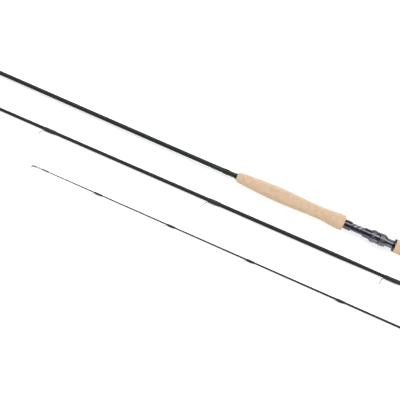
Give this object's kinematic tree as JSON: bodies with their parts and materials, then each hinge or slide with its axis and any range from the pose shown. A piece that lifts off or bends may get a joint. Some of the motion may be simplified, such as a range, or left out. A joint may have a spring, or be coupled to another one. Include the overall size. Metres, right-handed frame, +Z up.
{
  "type": "fly fishing rod",
  "caption": "Long fly rod taken down into its sections and laid side by side, with a cork grip, a screw-locking reel seat and single-foot line guides.",
  "frame": {"origin": "on the surface that the sections lie on, under the middle of the whole layout", "axes": "+X along the sections, towards their butt ends; +Y from the tip section towards the butt section; +Z up"},
  "size_m": [1.48, 0.1408, 0.027],
  "materials": {
    "blank": "gloss clear-coated carbon fibre, dark green-black",
    "thread": "black nylon thread under epoxy",
    "trim_thread": "black and brown nylon thread under epoxy",
    "cork": "sanded natural cork with small pits",
    "guide_wire": "bright wire",
    "guide_ceramic": "polished pale grey ceramic",
    "anodised_seat": "gloss blue-black anodised",
    "anodised_nut": "gloss blue-black anodised with grip notches",
    "insert": "clear-coated woven carbon, violet grey",
    "arbor": "plain",
    "washer": "black nylon",
    "cap": "black"
  },
  "bodies": {
    "butt_section": {"butt_blank": "blank", "butt_cap": "cap", "end_collar": "anodised_seat", "fighting_butt_ring_1": "cork", "fighting_butt_ring_2": "cork", "fixed_hood": "anodised_seat", "grip_ring_01": "cork", "grip_ring_02": "cork", "grip_ring_03": "cork", "grip_ring_04": "cork", "grip_ring_05": "cork", "grip_ring_06": "cork", "grip_ring_07": "cork", "grip_ring_08": "cork", "grip_ring_09": "cork", "grip_ring_10": "cork", "grip_ring_11": "cork", "grip_ring_12": "cork", "grip_ring_13": "cork", "grip_ring_14": "cork", "grip_ring_15": "cork", "seat_arbor": "arbor", "seat_insert": "insert", "stripping_guide_1": "guide_wire", "stripping_guide_1_ring": "guide_ceramic", "stripping_guide_1_wrap": "thread", "threaded_barrel": "anodised_seat", "trim_wrap": "trim_thread", "winding_check": "anodised_seat"},
    "middle_section": {"middle_blank": "blank", "middle_ferrule_wrap": "thread", "middle_guide_1": "guide_wire", "middle_guide_1_wrap": "thread", "middle_guide_2": "guide_wire", "middle_guide_2_wrap": "thread", "middle_guide_3": "guide_wire", "middle_guide_3_wrap": "thread", "stripping_guide_2": "guide_wire", "stripping_guide_2_ring": "guide_ceramic", "stripping_guide_2_wrap": "thread"},
    "tip_section": {"tip_blank": "blank", "tip_ferrule_wrap": "thread", "tip_guide_1": "guide_wire", "tip_guide_1_wrap": "thread", "tip_guide_2": "guide_wire", "tip_guide_2_wrap": "thread", "tip_guide_3": "guide_wire", "tip_guide_3_wrap": "thread", "tip_guide_4": "guide_wire", "tip_guide_4_wrap": "thread", "tip_guide_5": "guide_wire", "tip_guide_5_wrap": "thread", "tip_guide_6": "guide_wire", "tip_guide_6_wrap": "thread", "tip_top": "guide_wire", "tip_top_wrap": "thread"},
    "sliding_hood": {"sliding_hood": "anodised_seat"},
    "lock_nut": {"lock_nut": "anodised_nut"},
    "slip_washer": {"slip_washer": "washer"},
    "jam_nut": {"jam_nut": "anodised_nut"}
  },
  "joints": [
    {"name": "middle_lift", "type": "slide", "parent": "butt_section", "child": "middle_section", "axis": [0, 0, 1], "range_m": [0, 0.15]},
    {"name": "tip_lift", "type": "slide", "parent": "butt_section", "child": "tip_section", "axis": [0, 0, 1], "range_m": [0, 0.15]},
    {"name": "hood_slide", "type": "slide", "parent": "butt_section", "child": "sliding_hood", "axis": [0.9999, 0, 0.0117], "range_m": [-0.003, 0.00825]},
    {"name": "lock_nut_turn", "type": "hinge", "parent": "sliding_hood", "child": "lock_nut", "pos_m": [0.24245, 0.05722, 0.0145], "axis": [0.9999, 0, 0.0117], "range_deg": [-720, 1980]},
    {"name": "washer_slide", "type": "slide", "parent": "lock_nut", "child": "slip_washer", "axis": [0.9999, 0, 0.0117], "range_m": [0, 0.003]},
    {"name": "jam_nut_turn", "type": "hinge", "parent": "slip_washer", "child": "jam_nut", "pos_m": [0.25645, 0.05722, 0.01466], "axis": [0.9999, 0, 0.0117], "range_deg": [0, 720]}
  ],
  "couplings": [
    {"joint": "hood_slide", "follows": "lock_nut_turn", "m_per_rad": 0.0002387},
    {"joint": "washer_slide", "follows": "jam_nut_turn", "m_per_rad": 0.0002387}
  ]
}
